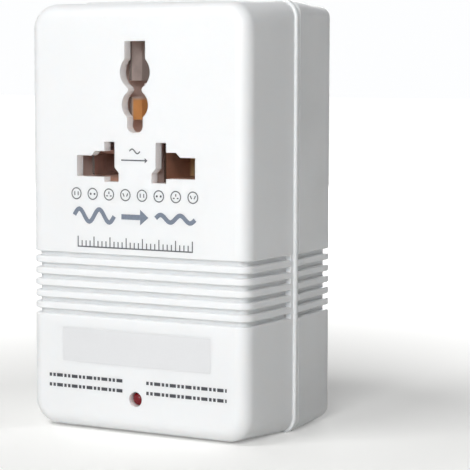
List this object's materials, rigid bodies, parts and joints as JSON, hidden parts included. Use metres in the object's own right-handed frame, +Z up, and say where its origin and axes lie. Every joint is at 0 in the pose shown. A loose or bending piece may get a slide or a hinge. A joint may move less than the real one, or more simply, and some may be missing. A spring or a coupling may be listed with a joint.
{
  "type": "travel voltage converter",
  "caption": "Upright white travel voltage converter: universal socket and lamp in front, ribbed waist, raised seam bead, folding flat-blade plug and selector slide behind.",
  "frame": {"origin": "centre of the footprint, on the lowest line of the seam bead", "axes": "+X to the right seen from the socket side, +Y from the socket face towards the plug side, +Z up"},
  "size_m": [0.056, 0.039, 0.0932],
  "materials": {
    "zinc_steel": "zinc plated",
    "core_steel": "varnished silicon steel sheets",
    "contact_copper": "rolled phosphor bronze",
    "casing_white": "satin white ABS",
    "circuit_board": "phenolic board",
    "red_lens": "dark red epoxy",
    "resistor_body": "lacquered ceramic",
    "dark_moulding": "dark brown nylon",
    "nickel_blade": "nickel plated brass",
    "winding_copper": "enamelled copper wire",
    "tinned_lug": "tinned brass",
    "selector_red": "red acetal",
    "fuse_body": "ceramic sleeve",
    "bobbin_nylon": "natural nylon",
    "winding_tape": "polyester tape"
  },
  "bodies": {
    "root": {"carrier_screws": "zinc_steel", "casing_screws": "zinc_steel", "core_e_stack": "core_steel", "core_i_stack": "core_steel", "core_screws": "zinc_steel", "earth_contact": "contact_copper", "front_cover": "casing_white", "input_contact_left": "contact_copper", "input_contact_right": "contact_copper", "led_board": "circuit_board", "led_lamp": "red_lens", "led_resistor": "resistor_body", "live_contact": "contact_copper", "neutral_contact": "contact_copper", "primary_winding": "winding_copper", "rear_cover": "casing_white", "secondary_winding": "winding_copper", "selector_body": "dark_moulding", "selector_lugs": "tinned_lug", "socket_carrier": "dark_moulding", "thermal_fuse": "fuse_body", "transformer_bobbin": "bobbin_nylon", "winding_tape": "winding_tape"},
    "plug": {"plug_barrel": "dark_moulding", "plug_blade_left": "nickel_blade", "plug_blade_right": "nickel_blade"},
    "selector": {"selector_slider": "selector_red"}
  },
  "joints": [
    {"name": "plug_fold", "type": "hinge", "parent": "root", "child": "plug", "pos_m": [0, 0.0156, 0.0777], "axis": [1, 0, 0], "range_deg": [0, 90]},
    {"name": "selector_slide", "type": "slide", "parent": "root", "child": "selector", "axis": [1, 0, 0], "range_m": [0, 0.005]}
  ]
}
